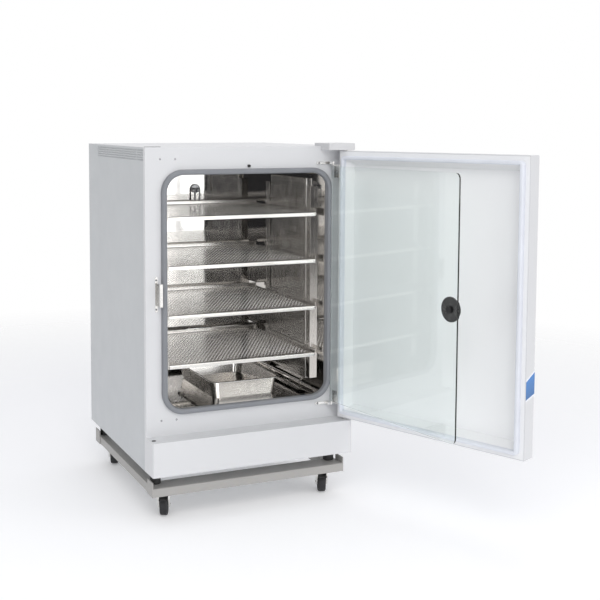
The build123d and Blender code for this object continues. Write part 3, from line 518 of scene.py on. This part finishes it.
def makeWheel(name, spec, joint):
    low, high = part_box(name)
    radius = (high.z - low.z) / 2
    half = spec["width"] / 2
    profile = spec["section"] + [(-a, r) for a, r in spec["section"][::-1]]
    axis = Vector(joint["axis"]).normalized()
    side = Vector((0, 0, 1)).cross(axis)
    middle = Vector(joint["pos_m"])
    build = bmesh.new()
    rings = []
    for i in range(spec["steps"]):
        turn = 2 * math.pi * i / spec["steps"]
        out = side * math.cos(turn) + Vector((0, 0, 1)) * math.sin(turn)
        rings.append([build.verts.new(middle + axis * a * half + out * r * radius) for a, r in profile])
    for i, ring in enumerate(rings):
        other = rings[(i + 1) % len(rings)]
        for j in range(len(profile)):
            k = (j + 1) % len(profile)
            build.faces.new((ring[j], ring[k], other[k], other[j]))
    mesh = finishMesh(build, name + "Mesh")
    smooth(mesh, 40)
    addObject(name + "Turned", mesh, "wheel_rubber", name, [name])


for joint in record["behaviour"]["joints"]:
    if joint["name"].endswith("_roll"):
        makeWheel(joint["child"], wheel, joint)
print("wheels made")

# screws: one head with a cross recess, repeated on points
screw = {"radius": 3.0 * mm, "height": 1.2 * mm, "recess": 0.7 * mm, "arm": 1.9 * mm, "slot": 0.42 * mm,
         "steps": 24}


def screwHead(spec):
    build = bmesh.new()
    steps, top = spec["steps"], spec["height"]
    arm, slot = spec["arm"], spec["slot"]
    cross = [(arm, -slot), (arm, slot), (slot, slot), (slot, arm), (-slot, arm), (-slot, slot), (-arm, slot),
             (-arm, -slot), (-slot, -slot), (-slot, -arm), (slot, -arm), (slot, -slot)]
    levels = [(1.0, 0.0), (1.0, 0.45), (0.93, 0.75), (0.80, 0.93), (0.68, 1.0)]
    rings = [[build.verts.new((spec["radius"] * r * math.cos(2 * math.pi * i / steps),
                               spec["radius"] * r * math.sin(2 * math.pi * i / steps), top * z))
              for i in range(steps)] for r, z in levels]
    for low, high in zip(rings, rings[1:]):
        for i in range(steps):
            j = (i + 1) % steps
            build.faces.new((low[i], low[j], high[j], high[i]))
    build.faces.new(rings[0][::-1])
    mouth = [build.verts.new((x, y, top)) for x, y in cross]
    floor = [build.verts.new((x * 0.8, y * 0.8, top - spec["recess"])) for x, y in cross]
    edges = [build.edges.new((mouth[i], mouth[(i + 1) % len(mouth)])) for i in range(len(mouth))]
    rim = [build.edges.get((rings[-1][i], rings[-1][(i + 1) % steps])) for i in range(steps)]
    bmesh.ops.triangle_fill(build, use_beauty=True, edges=rim + edges)
    for i in range(len(cross)):
        j = (i + 1) % len(cross)
        build.faces.new((mouth[i], mouth[j], floor[j], floor[i]))
    build.faces.new(floor)
    return finishMesh(build, "screwHead")


def screwPlaces():
    # gathers the node's vertices into one cluster per screw
    clusters = []
    for corner in (Vector(v.co) for v in nodes["casing_screws"].data.vertices):
        corner = nodes["casing_screws"].matrix_world @ corner
        for cluster in clusters:
            if (cluster[0] - corner).length < 3 * screw["radius"]:
                cluster.append(corner)
                break
        else:
            clusters.append([corner])
    return clusters


def screwTree():
    tree = bpy.data.node_groups.new("screwsOnPoints", "GeometryNodeTree")
    face = tree.interface
    face.new_socket("Geometry", in_out="OUTPUT", socket_type="NodeSocketGeometry")
    face.new_socket("Points", in_out="INPUT", socket_type="NodeSocketGeometry")
    face.new_socket("Head", in_out="INPUT", socket_type="NodeSocketObject")
    face.new_socket("Material", in_out="INPUT", socket_type="NodeSocketMaterial")
    face.new_socket("Seed", in_out="INPUT", socket_type="NodeSocketInt")
    new, link = tree.nodes.new, tree.links.new
    given, out = new("NodeGroupInput"), new("NodeGroupOutput")
    head, facing = new("GeometryNodeObjectInfo"), new("GeometryNodeInputNamedAttribute")
    align = new("FunctionNodeAlignRotationToVector")
    spin, local = new("FunctionNodeRandomValue"), new("GeometryNodeRotateInstances")
    place, real = new("GeometryNodeInstanceOnPoints"), new("GeometryNodeRealizeInstances")
    paint = new("GeometryNodeSetMaterial")
    around = new("ShaderNodeCombineXYZ")
    facing.data_type = "FLOAT_VECTOR"
    facing.inputs["Name"].default_value = "facing"
    align.axis = "Z"
    spin.data_type = "FLOAT"
    spin.inputs[3].default_value = math.pi / 2
    link(given.outputs["Head"], head.inputs["Object"])
    link(given.outputs["Points"], place.inputs["Points"])
    link(head.outputs["Geometry"], place.inputs["Instance"])
    link(facing.outputs["Attribute"], align.inputs["Vector"])
    link(align.outputs["Rotation"], place.inputs["Rotation"])
    link(given.outputs["Seed"], spin.inputs["Seed"])
    link(spin.outputs[1], around.inputs["Z"])
    link(place.outputs[0], local.inputs["Instances"])
    link(around.outputs[0], local.inputs["Rotation"])
    link(local.outputs[0], real.inputs[0])
    link(real.outputs[0], paint.inputs["Geometry"])
    link(given.outputs["Material"], paint.inputs["Material"])
    link(paint.outputs[0], out.inputs[0])
    return tree


def makeScrews(spec):
    headObject = bpy.data.objects.new("screwHead", screwHead(spec))
    scene.collection.objects.link(headObject)
    points, ways = [], []
    for cluster in screwPlaces():
        low = Vector(map(min, *cluster))
        high = Vector(map(max, *cluster))
        size, middle = high - low, (low + high) / 2
        if size.z < min(size.x, size.y):
            way, base = Vector((0, 0, 1)), Vector((middle.x, middle.y, high.z - spec["height"]))
        elif middle.y > 0.2:
            way, base = Vector((0, 1, 0)), Vector((middle.x, high.y - spec["height"], middle.z))
        else:
            way, base = Vector((0, -1, 0)), Vector((middle.x, low.y + spec["height"], middle.z))
        points.append(base)
        ways.append(way)
    mesh = bpy.data.meshes.new("screwPoints")
    mesh.from_pydata(points, [], [])
    facing = mesh.attributes.new("facing", "FLOAT_VECTOR", "POINT")
    facing.data.foreach_set("vector", [n for way in ways for n in way])
    holder = bpy.data.objects.new("screws", mesh)
    tree = screwTree()
    step = holder.modifiers.new("screws", "NODES")
    step.node_group = tree
    values = {"Head": headObject, "Material": materials["screw_steel"], "Seed": 4}
    for item in tree.interface.items_tree:
        if item.in_out == "INPUT" and item.name in values:
            step[item.identifier] = values[item.name]
    made = evaluated(holder)
    bpy.data.objects.remove(headObject)
    smooth(made, 35)
    addObject("screwHeads", made, "screw_steel", "cabinet", ["casing_screws"])
    print("screws made:", len(points))


makeScrews(screw)


# stage
def makeFlag(middle, width, height, color):  # a dark card that only mirrors see
    x, y, z = middle
    w, h = width / 2, height / 2
    corners = [(x - w, y, z - h), (x + w, y, z - h), (x + w, y, z + h), (x - w, y, z + h)]
    mesh = bpy.data.meshes.new("flag")
    mesh.from_pydata(corners, [], [(3, 2, 1, 0)])
    flag = bpy.data.objects.new("flag", mesh)
    scene.collection.objects.link(flag)
    flag.visible_camera = flag.visible_diffuse = flag.visible_shadow = flag.visible_transmission = False
    mesh.materials.append(makeMaterial("flagCloth", color, "foam"))


def makeStage(spec):
    half = spec["floor"]
    mesh = bpy.data.meshes.new("floor")
    corners = [(-half, -half, 0), (half, -half, 0), (half, half, 0), (-half, half, 0)]
    mesh.from_pydata(corners, [], [(0, 1, 2, 3)])
    floor = bpy.data.objects.new("floor", mesh)
    scene.collection.objects.link(floor)
    material = bpy.data.materials.new("floorPaint")
    material.use_nodes = True
    tree = material.node_tree
    shader = tree.nodes["Principled BSDF"]
    shader.inputs["Base Color"].default_value = spec["floorColor"]
    shader.inputs["Roughness"].default_value = 0.7
    shader.inputs["Specular IOR Level"].default_value = 0.1
    shader.inputs["Emission Color"].default_value = spec["floorColor"]
    shader.inputs["Emission Strength"].default_value = spec["floorGlow"]
    place = Wire(tree, None).node("ShaderNodeTexCoord", out="Object")
    away = place.node("ShaderNodeVectorMath", {"operation": "LENGTH"}, {0: place}, out="Value")
    tree.links.new(away.ramp(*spec["fade"], 1.0, 0.0).socket, shader.inputs["Alpha"])
    mesh.materials.append(material)
    makeFlag(*spec["flag"])
    world = bpy.data.worlds.new("studio")
    world.use_nodes = True
    tree = world.node_tree
    glow = tree.nodes["Background"]
    glow.inputs["Color"].default_value = spec["world"]
    glow.inputs["Strength"].default_value = spec["worldPower"]
    start = Wire(tree, None)
    paper = start.node("ShaderNodeBackground", {}, {"Color": spec["back"], "Strength": 1.0})
    path = start.node("ShaderNodeLightPath", out="Is Camera Ray")
    glossy = start.node("ShaderNodeLightPath", out="Is Glossy Ray")
    seen = path.maths("MAXIMUM", path, glossy * spec["inMirrors"])
    both = start.node("ShaderNodeMixShader", {}, {0: seen, 1: Wire(tree, glow.outputs[0]), 2: paper})
    tree.links.new(both.socket, tree.nodes["World Output"].inputs["Surface"])
    scene.world = world


makeStage(stage)
for name, values in lamps.items():
    makeLamp(name, *values)
makeCamera(camera)
scene.view_settings.view_transform = "Standard"
print("stage, lights and camera made")
